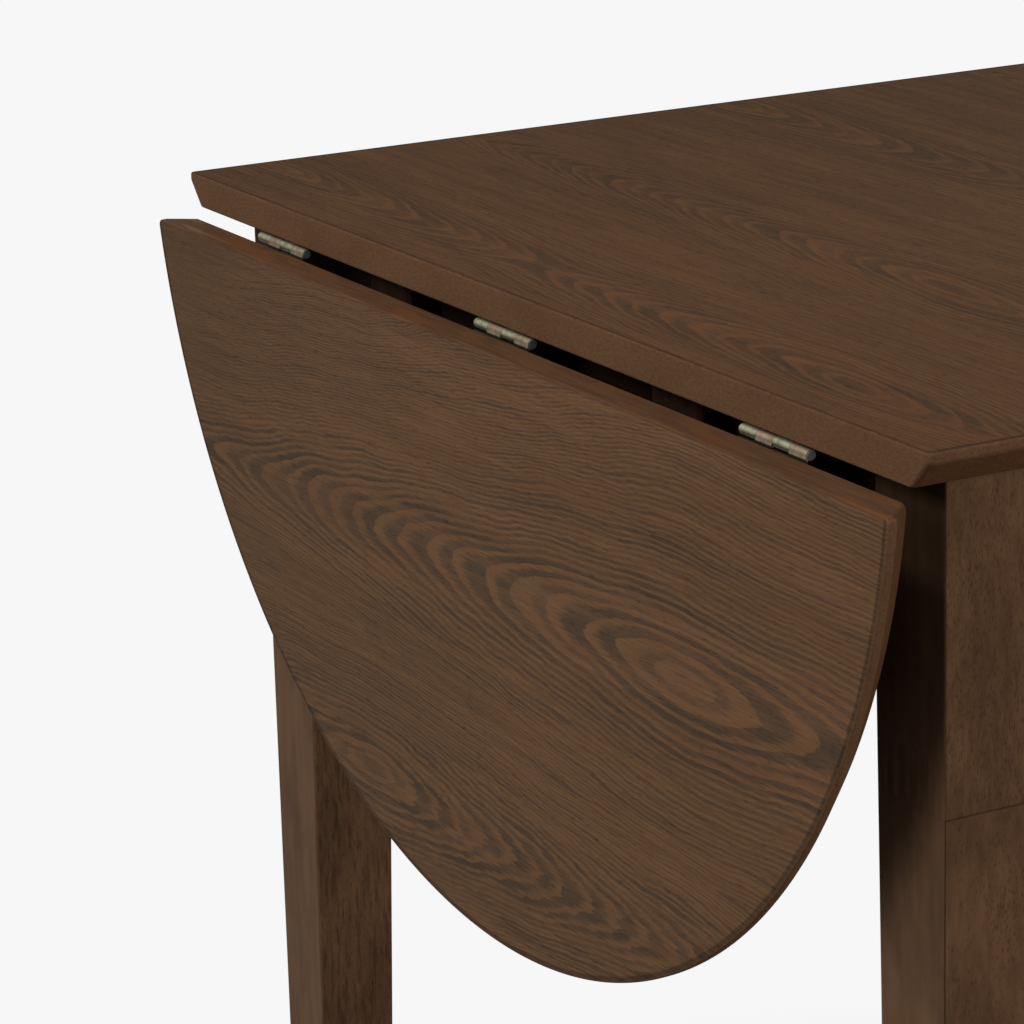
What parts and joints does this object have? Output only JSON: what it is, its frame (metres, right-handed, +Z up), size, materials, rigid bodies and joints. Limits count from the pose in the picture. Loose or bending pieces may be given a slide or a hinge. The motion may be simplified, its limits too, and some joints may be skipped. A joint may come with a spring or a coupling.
{
  "type": "drop-leaf table",
  "caption": "Rectangular table on tapered legs, with a D-shaped leaf hinged under each long edge; bars pull out from under the top to hold a raised leaf.",
  "frame": {"origin": "on the floor, under the middle of the table", "axes": "+Z up, +X across the table from the left leaf to the right leaf, +Y along the hinge lines from the near end to the far end"},
  "size_m": [0.6388, 0.7, 0.75],
  "materials": {
    "stained_wood": "ash veneer and solid wood in a dark walnut stain, satin lacquer",
    "plain_wood": "beech under a thin walnut stain, unpolished",
    "hinge_steel": "pressed steel, yellowish zinc plate",
    "steel": "zinc plated",
    "glide_plastic": "dark moulded nylon"
  },
  "bodies": {
    "frame": {"top_panel": "stained_wood", "apron_left": "stained_wood", "apron_right": "stained_wood", "apron_near": "stained_wood", "apron_far": "stained_wood", "leg_left_near": "stained_wood", "corner_block_left_near": "plain_wood", "leg_left_far": "stained_wood", "corner_block_left_far": "plain_wood", "leg_right_near": "stained_wood", "corner_block_right_near": "plain_wood", "leg_right_far": "stained_wood", "corner_block_right_far": "plain_wood", "guide_rail_near_inner": "plain_wood", "guide_rail_near_outer": "plain_wood", "guide_rail_far_inner": "plain_wood", "guide_rail_far_outer": "plain_wood", "leg_bolts": "steel", "leg_bolt_washers": "steel", "leg_bolt_nuts": "steel", "top_brackets": "steel", "foot_glides": "glide_plastic", "hinge_left_near_top_plate": "hinge_steel", "hinge_left_near_pin": "steel", "hinge_left_middle_top_plate": "hinge_steel", "hinge_left_middle_pin": "steel", "hinge_left_far_top_plate": "hinge_steel", "hinge_left_far_pin": "steel", "hinge_right_near_top_plate": "hinge_steel", "hinge_right_near_pin": "steel", "hinge_right_middle_top_plate": "hinge_steel", "hinge_right_middle_pin": "steel", "hinge_right_far_top_plate": "hinge_steel", "hinge_right_far_pin": "steel"},
    "leaf_left": {"leaf_left": "stained_wood", "hinge_left_near_leaf_plate": "hinge_steel", "hinge_left_middle_leaf_plate": "hinge_steel", "hinge_left_far_leaf_plate": "hinge_steel"},
    "leaf_right": {"leaf_right": "stained_wood", "hinge_right_near_leaf_plate": "hinge_steel", "hinge_right_middle_leaf_plate": "hinge_steel", "hinge_right_far_leaf_plate": "hinge_steel"},
    "loper_left_near": {"loper_left_near": "plain_wood", "loper_peg_left_near": "plain_wood"},
    "loper_left_far": {"loper_left_far": "plain_wood", "loper_peg_left_far": "plain_wood"},
    "loper_right_near": {"loper_right_near": "plain_wood", "loper_peg_right_near": "plain_wood"},
    "loper_right_far": {"loper_right_far": "plain_wood", "loper_peg_right_far": "plain_wood"}
  },
  "joints": [
    {"name": "leaf_left_hinge", "type": "hinge", "parent": "frame", "child": "leaf_left", "pos_m": [-0.2994, 0, 0.7299], "axis": [0, 1, 0], "range_deg": [0, 91.4]},
    {"name": "leaf_right_hinge", "type": "hinge", "parent": "frame", "child": "leaf_right", "pos_m": [0.2994, 0, 0.7299], "axis": [0, -1, 0], "range_deg": [0, 91.4]},
    {"name": "loper_left_near_slide", "type": "slide", "parent": "frame", "child": "loper_left_near", "axis": [-1, 0, 0], "range_m": [0, 0.0115]},
    {"name": "loper_left_far_slide", "type": "slide", "parent": "frame", "child": "loper_left_far", "axis": [-1, 0, 0], "range_m": [0, 0.0115]},
    {"name": "loper_right_near_slide", "type": "slide", "parent": "frame", "child": "loper_right_near", "axis": [1, 0, 0], "range_m": [0, 0.0115]},
    {"name": "loper_right_far_slide", "type": "slide", "parent": "frame", "child": "loper_right_far", "axis": [1, 0, 0], "range_m": [0, 0.0115]}
  ]
}
